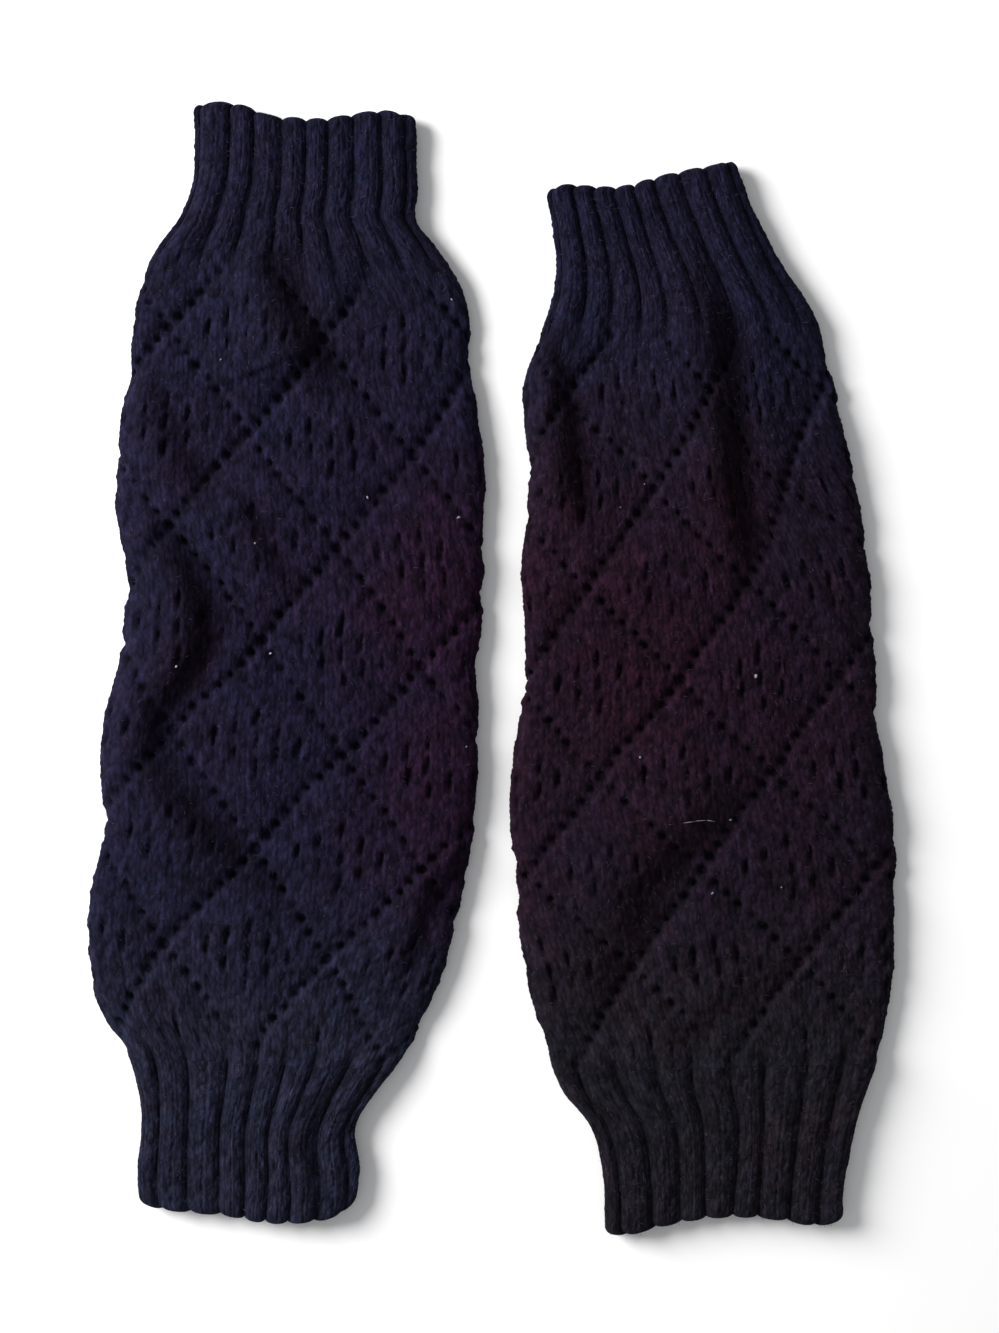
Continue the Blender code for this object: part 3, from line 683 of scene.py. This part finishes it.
def cuff_mesh(warmer, panel):
    """A ribbed band: from its seam to a rounded open end whose ribs stand out a little."""
    upper = np.arange(RIBS_ACROSS * CUFF_COLUMNS["upper"]) / (RIBS_ACROSS * CUFF_COLUMNS["upper"])
    lower = 1 + np.arange(RIBS_ACROSS * CUFF_COLUMNS["lower"]) / (RIBS_ACROSS * CUFF_COLUMNS["lower"])
    share = np.concatenate([upper, lower])[None, :]
    top = panel == "top_cuff"
    outward = 1 if top else -1
    seam_y = warmer["seams"][0 if top else 1]
    rim_y = np.mean([row[1] for row in warmer[panel.removesuffix("_cuff") + "_rim"]])
    length = abs(rim_y - seam_y)
    lip = LIP / length
    t = np.arange(CUFF_ROWS + 1)[:, None] / CUFF_ROWS
    t = lip + t * (1 - lip) if top else t * (1 - lip)
    y = row_height(warmer, panel, t, np.where(share < 1, share, 2 - share))
    ribs = rib_place(warmer, share, y, float(top))
    rib_height = rib_round(ribs)
    course = (t - 1 if top else COURSES + t) * length / COURSE
    to_rim = (1 - t if top else t) / (1 - lip)
    seed = RNG_SEED + (11 if top else 17) + len(warmer["name"])
    swell = RIM_SWELL * to_rim * wander(seed, 0.5 * share, t, 18, 8)
    relief = press_flat(rib_relief(ribs, course) + swell, share)
    outer = tube(warmer, panel, t, share, relief, False)
    scallop = outward * to_rim**RIM_EASE * RIM_SCALLOP * (rib_height - 0.5)
    outer[..., 1] += scallop
    end = 0 if top else -1
    t_end = t[end][:, None]
    inside = tube(warmer, panel, t_end, share, 0.0, True)[0]
    inside[:, 1] += scallop[end]
    angle = np.linspace(0, np.pi, LIP_ROWS + 2)[1:-1, None, None]
    turned = 0.5 * (1 - np.cos(angle))
    lip_rows = (1 - turned) * outer[end][None] + turned * inside[None]
    lip_rows[..., 1] += outward * LIP * np.sin(angle)[..., 0]
    picks = np.arange(0, share.shape[1], INNER_STRIDE)
    inner_t = np.linspace(t[0, 0], t[-1, 0], INNER_ROWS["cuff"] + 1)[:, None]
    inner = tube(warmer, panel, inner_t, share[:, picks], 0.0, True)
    lip_course = course[end] - outward * LIP_COURSES * np.arange(1, LIP_ROWS + 1)[:, None]
    furrow = 1 - rib_height
    lip_furrow, lip_ribs = (np.repeat(values[end][None], LIP_ROWS, 0) for values in (furrow, ribs))
    joined = [(lip_rows, outer), (lip_course, course), (lip_furrow, furrow), (lip_ribs, ribs)]
    if top:
        outer, course, furrow, ribs = (np.concatenate([lip[::-1], rest]) for lip, rest in joined)
    else:
        outer, course, furrow, ribs = (np.concatenate([rest, lip]) for lip, rest in joined)
    name = f"{warmer['name']}_{panel}_rib"
    fields = {"hole": np.zeros_like(furrow), "furrow": furrow}
    return wall_mesh(name, outer, inner, picks, closed_round(4 * ribs, course, 0), fields)


# Colours of the knit, linear
NAVY = (0.0066, 0.0056, 0.0152)
CUFF_NAVY = (0.0064, 0.0061, 0.0156)
AUBERGINE = (0.0084, 0.0047, 0.0098)
COAL = (0.0084, 0.0073, 0.0100)
LIGHT_NAVY = (0.0094, 0.0104, 0.0200)
PLUM = (0.0126, 0.0037, 0.0108)
DEEP_PLUM = (0.0116, 0.0031, 0.0078)
LINT_GREY = (0.10, 0.09, 0.13, 1)
LINT_PALE = (0.30, 0.27, 0.34, 1)
HAIR_DARK = (0.014, 0.011, 0.024, 1)
HAIR_PALE = (0.060, 0.050, 0.092, 1)

# How the colour changes: with the dye, with painted shade in the folds, and how much painted shade darkens
# eyelets and furrows
COOLER = (0.86, 0.98, 1.08, 1)
REDDER = (1.18, 0.95, 1.00, 1)
FOLD_PAINTED_SHADE = (0.66, 0.46, 0.44, 1)
HOLLOW_PAINTED_SHADE = {"hole": 0.62, "furrow": 0.45}
NAP_STRENGTH = 3.2


def set_sockets(node, values):
    for name, value in values.items():
        node.inputs[name].default_value = value


class Shading:
    """Short ways to add and join shader nodes in one tree."""

    def __init__(self, tree):
        self.tree = tree

    def node(self, kind, **settings):
        made = self.tree.nodes.new("ShaderNode" + kind)
        for name, value in settings.items():
            setattr(made, name, value)
        return made

    def feed(self, socket, value):
        if isinstance(value, bpy.types.NodeSocket):
            self.tree.links.new(value, socket)
        else:
            socket.default_value = value

    def math(self, operation, *values):
        made = self.node("Math", operation=operation)
        for socket, value in zip(made.inputs, values):
            self.feed(socket, value)
        return made.outputs[0]

    def times(self, a, b):
        return self.math("MULTIPLY", a, b)

    def mix(self, factor, a, b, blend="MIX"):
        made = self.node("Mix", data_type="RGBA", blend_type=blend)
        self.feed(made.inputs["Factor"], factor)
        self.feed(made.inputs["A"], a)
        self.feed(made.inputs["B"], b)
        return made.outputs["Result"]

    def noise(self, vector, scale, detail=2.0, roughness=0.5):
        made = self.node("TexNoise")
        self.feed(made.inputs["Vector"], vector)
        set_sockets(made, {"Scale": scale, "Detail": detail, "Roughness": roughness})
        return made.outputs["Fac"]

    def ramp(self, value, low, high):
        made = self.node("MapRange", interpolation_type="SMOOTHSTEP")
        self.feed(made.inputs["Value"], value)
        set_sockets(made, {"From Min": low, "From Max": high})
        return made.outputs["Result"]

    def flat(self, x, y):
        """A vector from two values."""
        made = self.node("CombineXYZ")
        self.feed(made.inputs["X"], x)
        self.feed(made.inputs["Y"], y)
        return made.outputs[0]

    def field(self, name):
        """A value that the mesh holds for each point."""
        return self.node("Attribute", attribute_name=name).outputs["Fac"]

    def group(self, tree, **values):
        made = self.node("Group", node_tree=tree)
        for name, value in values.items():
            self.feed(made.inputs[name.replace("_", " ")], value)
        return made.outputs


def new_material(name):
    """A material, its Shading and its Principled shader."""
    material = bpy.data.materials.new(name)
    material.use_nodes = True
    tree = material.node_tree
    return material, Shading(tree), tree.nodes["Principled BSDF"]


def effect(name, inputs, outputs):
    """An empty node group with named sockets: its Shading, what is given to it and what it gives."""
    tree = bpy.data.node_groups.new(name, "ShaderNodeTree")
    for side, sockets in (("INPUT", inputs), ("OUTPUT", outputs)):
        for socket, kind in sockets.items():
            tree.interface.new_socket(socket, in_out=side, socket_type="NodeSocket" + kind)
    given = tree.nodes.new("NodeGroupInput").outputs
    made = tree.nodes.new("NodeGroupOutput").inputs
    return Shading(tree), given, made


def knit_stitches():
    """Legs of the stitches on the wale and course coordinates: their height and their shade, a random tone
    with painted shade at the edges of each leg.
    """
    s, given, made = effect("Knit stitches", {"Knit": "Vector"}, {"Height": "Float", "Shade": "Float"})
    split = s.node("SeparateXYZ")
    s.feed(split.inputs[0], given["Knit"])
    stray = s.math("SUBTRACT", s.noise(given["Knit"], scale=1.3, detail=3.0), 0.5)
    stray = s.times(stray, 0.35)
    wale = s.math("ADD", split.outputs["X"], stray)
    across = s.math("ABSOLUTE", s.math("SUBTRACT", s.math("FRACT", s.math("ADD", wale, 0.5)), 0.5))
    climbed = s.math("ADD", split.outputs["Y"], stray)
    climbed = s.math("SUBTRACT", climbed, s.times(across, LEG_LEAN))
    legs = s.node("TexVoronoi", voronoi_dimensions="2D")
    s.feed(legs.inputs["Vector"], s.flat(s.times(wale, 2.0), s.times(climbed, 0.8)))
    set_sockets(legs, {"Scale": 1.0, "Randomness": 1.0})
    own = s.node("SeparateColor")
    s.feed(own.inputs[0], legs.outputs["Color"])
    loop = s.math("SUBTRACT", 1.0, s.ramp(legs.outputs["Distance"], low=0.1, high=0.9))
    column = s.math("ABSOLUTE", s.math("SINE", s.times(wale, 2 * math.pi)))
    streak = s.flat(s.times(wale, 1.2), s.times(split.outputs["Y"], 0.35))
    streaks = s.ramp(s.noise(streak, scale=1.0), low=0.3, high=0.7)
    height = s.math("ADD", s.times(loop, 0.6), s.times(column, 0.2))
    s.feed(made["Height"], s.math("ADD", height, s.times(own.outputs["Red"], 0.4)))
    leg_tone = s.math("MULTIPLY_ADD", own.outputs["Green"], 0.65, 0.4)
    leg_tone = s.math("ADD", leg_tone, s.times(streaks, 0.4))
    # Painted shade: each leg is darker at its edges and low places, times its own random tone
    s.feed(made["Shade"], s.times(s.math("MULTIPLY_ADD", height, 0.7, 0.65), leg_tone))
    return s.tree


def wool_nap():
    """Brushed fibres: fine specks drawn out along the wales, as a height and a brightness."""
    s, given, made = effect(
        "Wool nap", {"Place": "Vector", "Strength": "Float"}, {"Height": "Float", "Shade": "Float"}
    )
    drawn = s.node("Mapping")
    s.feed(drawn.inputs["Vector"], given["Place"])
    drawn.inputs["Scale"].default_value = (1.0, 0.45, 1.0)
    fine = s.noise(drawn.outputs[0], scale=1500, detail=3.0, roughness=0.65)
    broad = s.noise(drawn.outputs[0], scale=380, detail=3.0, roughness=0.6)
    both = s.math("ADD", s.times(fine, 0.4), s.times(broad, 0.6))
    off = s.times(s.math("SUBTRACT", both, 0.5), given["Strength"])
    s.feed(made["Height"], both)
    s.feed(made["Shade"], s.math("MAXIMUM", s.math("ADD", off, 1.0), 0.2))
    return s.tree


def dye_drift():
    """Slow and quick changes of the yarn's colour, a little bluer here and redder there."""
    s, given, made = effect("Dye drift", {"Place": "Vector", "Color": "Color"}, {"Color": "Color"})
    slow = s.ramp(s.noise(given["Place"], scale=28, detail=3.0, roughness=0.6), low=0.38, high=0.66)
    quick = s.ramp(s.noise(given["Place"], scale=190, roughness=0.6), low=0.40, high=0.66)
    cooler = s.mix(1.0, given["Color"], COOLER, "MULTIPLY")
    redder = s.mix(1.0, given["Color"], REDDER, "MULTIPLY")
    s.feed(made["Color"], s.mix(s.times(s.math("ADD", slow, quick), 0.5), cooler, redder))
    return s.tree


def knit_material(name, colours, effects):
    """Matt brushed knit: colours of the yarn, near the top and the bottom seam and in the plum patches,
    with painted shade between the stitches and in creases, eyelets and furrows.
    """
    stitches, nap, dye = effects
    material, s, shader = new_material(name)
    place = s.node("TexCoord").outputs["Object"]
    stitch = s.group(stitches, Knit=s.node("UVMap", uv_map="Knit").outputs["UV"])
    fibres = s.group(nap, Place=place, Strength=NAP_STRENGTH)
    yarn, above, below, plum = ((*colour, 1) for colour in colours)
    colour = s.mix(s.field("near_top"), yarn, above)
    colour = s.mix(s.field("near_bottom"), colour, below)
    colour = s.mix(s.field("plum"), colour, plum)
    colour = s.group(dye, Place=place, Color=colour)["Color"]
    # Painted shade: deep in the creases the colour turns darker and redder
    colour = s.mix(s.field("fold"), colour, s.mix(1.0, colour, FOLD_PAINTED_SHADE, "MULTIPLY"))
    # Painted shade from the stitches, times the random tone of the fibres
    shade = s.times(stitch["Shade"], fibres["Shade"])
    # Painted shade: eyelets and the furrows between ribs are darkened
    for field, painted_shade in HOLLOW_PAINTED_SHADE.items():
        light = s.math("SUBTRACT", 1.0, s.times(s.field(field), painted_shade))
        shade = s.times(shade, light)
    grey = s.node("CombineColor")
    for channel in grey.inputs:
        s.feed(channel, shade)
    colour = s.mix(1.0, colour, grey.outputs[0], "MULTIPLY")
    s.feed(shader.inputs["Base Color"], colour)
    s.feed(shader.inputs["Roughness"], s.math("MULTIPLY_ADD", fibres["Height"], 0.2, 0.78))
    set_sockets(shader, {"Specular IOR Level": 0.03, "Sheen Weight": 0.025})
    set_sockets(shader, {"Sheen Roughness": 0.6, "Sheen Tint": (0.55, 0.5, 0.75, 1)})
    stitched = s.times(stitch["Height"], 0.6)
    height = s.math("ADD", stitched, s.times(fibres["Height"], 0.7))
    bump = s.node("Bump")
    set_sockets(bump, {"Distance": 0.5 * MM, "Strength": 0.8})
    s.feed(bump.inputs["Height"], height)
    s.feed(shader.inputs["Normal"], bump.outputs["Normal"])
    return material


# Specks of lint: x, y, length, width, degrees by which it is turned. The long ones are a bit of thread.
LINT_HEIGHT = 0.2
LINT_UNEVEN = 0.28
LINT_NEAR = 1.2  # a speck sits on the highest cloth as near as this
LINT = {
    "left": (
        (-10.0, 45.3, 1.3, 0.7, 20),
        (-70.5, 37.4, 0.7, 0.6, 70),
        (-81.0, 92.5, 0.9, 0.5, 35),
        (-93.8, 0.8, 0.8, 0.6, 80),
        (-66.1, 4.7, 0.9, 0.6, 10),
        (-37.2, 51.3, 0.9, 0.5, 110),
        (-7.6, -23.2, 0.7, 0.4, 60),
        (-12.0, 110.6, 0.9, 0.4, 130),
    ),
    "right": (
        (78.8, -2.1, 1.3, 0.9, 75),
        (65.8, -67.0, 1.0, 0.6, 40),
        (71.3, -45.1, 0.8, 0.6, 15),
        (86.5, -65.2, 0.6, 0.5, 90),
        (44.3, -26.3, 0.7, 0.6, 50),
        (38.4, 48.3, 0.6, 0.4, 0),
        (45.6, 55.2, 0.6, 0.4, 140),
        (58.8, -45.6, 3.6, 0.16, 8),
        (62.0, -45.2, 3.6, 0.16, 4),
        (65.2, -45.3, 3.6, 0.18, -10),
    ),
}

# Loose fibres on the upper side of one arm warmer
LOOSE_FIBRES = 4500
FIBRE_FROM = 4.6  # lowest place where one stands
FIBRE_WIDTH = 0.07
FIBRE_LENGTH = (0.6, 2.0)
FIBRE_RISE = 0.22  # of its middle over the cloth, as a share of its length
FIBRE_REACH = 0.95  # of its tip along the cloth
FIBRE_TIP_RISE = (0.0, 0.4)  # least and most, of its tip over the cloth

# Patches where the knit looks plum: x, y, half width, half height, strength
PLUM_PATCHES = (
    (-9.0, 18.0, 34.0, 44.0, 0.9),
    (-12.0, -34.0, 28.0, 46.0, 0.8),
    (-40.0, 24.0, 26.0, 30.0, 0.25),
    (24.0, 34.0, 22.0, 40.0, 0.5),
    (40.0, 8.0, 36.0, 44.0, 0.8),
    (66.0, 30.0, 16.0, 34.0, 0.6),
    (74.0, -10.0, 30.0, 34.0, 0.5),
)
SEAM_FADE = 38.0  # how far the colour of a cuff runs on into its body

SHARP_ANGLE = 70  # degrees between two faces from which their edge is sharp


def seam_field(warmer, y):
    """How much of the top cuff's and of the bottom cuff's colour each place has."""
    top, bottom = warmer["seams"]
    return [np.exp(-((np.maximum(gap, 0.0) / SEAM_FADE) ** 2)) for gap in (top - y, y - bottom)]


def plum_field(points):
    """How strongly each point lies in a plum patch."""
    amount = np.zeros(len(points))
    for x, y, half_width, half_height, strength in PLUM_PATCHES:
        off = np.hypot((points[:, 0] - x) / half_width, (points[:, 1] - y) / half_height)
        amount = np.maximum(amount, strength * np.exp(-(off**2)))
    return amount


def add_panel(warmer, panel, mesh, material):
    """The cloth of one panel, which stands for that node of the frame."""
    face_outward(mesh)
    points = point_values(mesh, "co") / MM
    # Mask of the painted shade in the creases
    fold = fold_shade_field(warmer["creases"], points[:, 0], points[:, 1])
    fields = [plum_field(points), fold, *seam_field(warmer, points[:, 1])]
    for field, values in zip(("plum", "fold", "near_top", "near_bottom"), fields):
        add_field(mesh, field, values)
    mesh.set_sharp_from_angle(angle=math.radians(SHARP_ANGLE))
    mesh.materials.append(material)
    piece = add_object(mesh.name, mesh)
    node = f"{warmer['name']}_{panel}"
    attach(piece, "root")
    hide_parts(node)
    return piece


def tuft(x, y, z, length, width, turn, rng):
    """Points of one speck of lint: a small uneven pad, drawn out along its own direction."""
    ball = bmesh.new()
    bmesh.ops.create_icosphere(ball, subdivisions=2, radius=1.0)
    points = np.array([v.co for v in ball.verts])
    faces = np.array([[v.index for v in face.verts] for face in ball.faces])
    ball.free()
    points *= 1 + rng.uniform(-LINT_UNEVEN, LINT_UNEVEN, (len(points), 1))
    points *= (0.5 * length, 0.5 * width, LINT_HEIGHT)
    angle = math.radians(turn)
    across = points[:, 0] * math.cos(angle) - points[:, 1] * math.sin(angle)
    along = points[:, 0] * math.sin(angle) + points[:, 1] * math.cos(angle)
    return np.stack([x + across, y + along, z + points[:, 2]], axis=-1), faces


def add_lint(warmer, body, material):
    """Specks of pale lint caught in the knit, and a short bit of thread, as one mesh."""
    cloth = point_values(body.data, "co") / MM
    rng = np.random.default_rng(RNG_SEED + len(warmer["name"]))
    points, faces = [], []
    for x, y, length, width, turn in LINT[warmer["name"]]:
        beside = cloth[np.hypot(cloth[:, 0] - x, cloth[:, 1] - y) < LINT_NEAR]
        pad, sides = tuft(x, y, beside[:, 2].max(), length, width, turn, rng)
        faces += (sides + sum(len(p) for p in points)).tolist()
        points.append(pad)
    mesh = bpy.data.meshes.new(f"{warmer['name']}_lint")
    mesh.from_pydata((np.concatenate(points) * MM).tolist(), [], faces)
    mesh.shade_smooth()
    mesh.materials.append(material)
    piece = add_object(mesh.name, mesh)
    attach(piece, "root")


def add_fibres(name, pieces, amount, material):
    """Short loose hairs that stand off the upper side of the knit, as one mesh of thin ribbons."""
    spots, normals = (
        np.concatenate([point_values(piece.data, field) for piece in pieces]) for field in ("co", "normal")
    )
    spots = spots / MM
    upper = (spots[:, 2] > FIBRE_FROM) & (normals[:, 2] > 0)
    rng = np.random.default_rng(RNG_SEED + amount)
    chosen = rng.choice(np.flatnonzero(upper), amount, replace=False)
    base, normal = spots[chosen], normals[chosen]
    along = rng.normal(size=(amount, 3)) * (1.0, 1.5, 1.0)
    along -= (along * normal).sum(axis=1, keepdims=True) * normal
    along /= np.linalg.norm(along, axis=1, keepdims=True)
    side = np.cross(normal, along) * 0.5 * FIBRE_WIDTH
    length = rng.uniform(*FIBRE_LENGTH, (amount, 1))
    middle = base + 0.5 * length * along + FIBRE_RISE * length * normal
    tip_rise = rng.uniform(*FIBRE_TIP_RISE, (amount, 1))
    tip = base + FIBRE_REACH * length * along + tip_rise * length * normal
    corners = np.stack([base - side, base + side, middle + side, middle - side, tip], axis=1)
    first = 5 * np.arange(amount)
    faces = [(k, k + 1, k + 2, k + 3) for k in first] + [(k + 3, k + 2, k + 4) for k in first]
    mesh = bpy.data.meshes.new(name)
    mesh.from_pydata((corners.reshape(-1, 3) * MM).tolist(), [], faces)
    mesh.materials.append(material)
    hairs = add_object(name, mesh)
    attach(hairs, "root")


def fluff_material(name, grey, pale):
    """Matt fluff between two colours."""
    material, s, shader = new_material(name)
    mottled = s.ramp(s.noise(s.node("TexCoord").outputs["Object"], scale=900), low=0.3, high=0.7)
    s.feed(shader.inputs["Base Color"], s.mix(mottled, grey, pale))
    set_sockets(shader, {"Roughness": 0.9, "Specular IOR Level": 0.1})
    return material


def pair():
    """Three panels, lint and loose hairs for each arm warmer; one more hair makes the right ones differ."""
    effects = (knit_stitches(), wool_nap(), dye_drift())
    navy_lace = knit_material("navy_lace_knit", (NAVY, CUFF_NAVY, LIGHT_NAVY, PLUM), effects)
    plum_lace = knit_material("plum_lace_knit", (AUBERGINE, CUFF_NAVY, COAL, DEEP_PLUM), effects)
    navy_rib = knit_material("navy_rib_knit", (CUFF_NAVY, CUFF_NAVY, LIGHT_NAVY, PLUM), effects)
    black_rib = knit_material("black_rib_knit", (COAL, COAL, COAL, DEEP_PLUM), effects)
    pieces = {}
    for warmer, lace_slot, lace, cuff_slot, cuff in (
        (LEFT, "navy_lace_knit", navy_lace, "navy_rib_knit", navy_rib),
        (RIGHT, "plum_lace_knit", plum_lace, "black_rib_knit", black_rib),
    ):
        body = add_panel(warmer, "body", body_mesh(warmer), lace)
        top_cuff = add_panel(warmer, "top_cuff", cuff_mesh(warmer, "top_cuff"), navy_rib)
        bottom_cuff = add_panel(warmer, "bottom_cuff", cuff_mesh(warmer, "bottom_cuff"), cuff)
        pieces[warmer["name"]] = (top_cuff, body, bottom_cuff)
    lint = fluff_material("lint", LINT_GREY, LINT_PALE)
    add_lint(LEFT, pieces["left"][1], lint)
    add_lint(RIGHT, pieces["right"][1], lint)
    hairs = fluff_material("loose_hairs", HAIR_DARK, HAIR_PALE)
    add_fibres("left_hairs", pieces["left"], LOOSE_FIBRES, hairs)
    add_fibres("right_hairs", pieces["right"], LOOSE_FIBRES + 1, hairs)


# Camera: the photo's frame is 999 by 1333 pixels at 0.3 mm each, seen from straight above
PIXEL = 0.3
FRAME_TALL = 1333 * PIXEL
FRAME_MIDDLE = (2.25, 0.75)
LENS = 70.0
SENSOR = 36.0
CLOTH_MIDDLE = 4.4  # height at which the frame is 0.3 mm to a pixel

# Studio, in metres and watts
FLOOR_REACH = 3.0
FLOOR_DROP = 0.0001  # under the cloth
FLOOR_WHITE = (0.9, 0.9, 0.9, 1)
KEY_PLACE = (-1.00, 0.38, 0.57)
KEY_SIZE = 0.80
KEY_POWER = 34.5
KEY_COLOUR = (1.0, 0.99, 0.98)
FILL_COLOUR = (0.97, 0.98, 1.0, 1)
FILL_STRENGTH = 0.42


def camera():
    """Looks straight down from where the frame is as tall as the photo's."""
    data = bpy.data.cameras.new("camera")
    data.lens = LENS
    data.sensor_width = SENSOR
    data.clip_start = 0.01
    seen_from = add_object("camera", data)
    away = FRAME_TALL * LENS / SENSOR
    seen_from.location = (FRAME_MIDDLE[0] * MM, FRAME_MIDDLE[1] * MM, (CLOTH_MIDDLE + away) * MM)
    bpy.context.scene.camera = seen_from


def key_light():
    data = bpy.data.lights.new("key", "AREA")
    data.shape = "DISK"
    data.size = KEY_SIZE
    data.energy = KEY_POWER
    data.color = KEY_COLOUR
    light = add_object("key", data)
    light.location = KEY_PLACE
    light.rotation_mode = "QUATERNION"
    light.rotation_quaternion = (-light.location).to_track_quat("-Z", "Y")


def studio():
    """Pale floor, one large soft light from the upper left and an even fill."""
    mesh = bpy.data.meshes.new("floor")
    sides = ((-1, -1), (1, -1), (1, 1), (-1, 1))
    corners = [(x * FLOOR_REACH, y * FLOOR_REACH, -FLOOR_DROP) for x, y in sides]
    mesh.from_pydata(corners, [], [(0, 1, 2, 3)])
    paper, _, shader = new_material("floor_white")
    set_sockets(shader, {"Base Color": FLOOR_WHITE, "Roughness": 0.95, "Specular IOR Level": 0.1})
    mesh.materials.append(paper)
    add_object("floor", mesh)
    key_light()
    world = bpy.data.worlds.new("studio")
    world.use_nodes = True
    set_sockets(world.node_tree.nodes["Background"], {"Color": FILL_COLOUR, "Strength": FILL_STRENGTH})
    bpy.context.scene.world = world
    bpy.context.scene.view_settings.view_transform = "Standard"


camera()
studio()
pair()
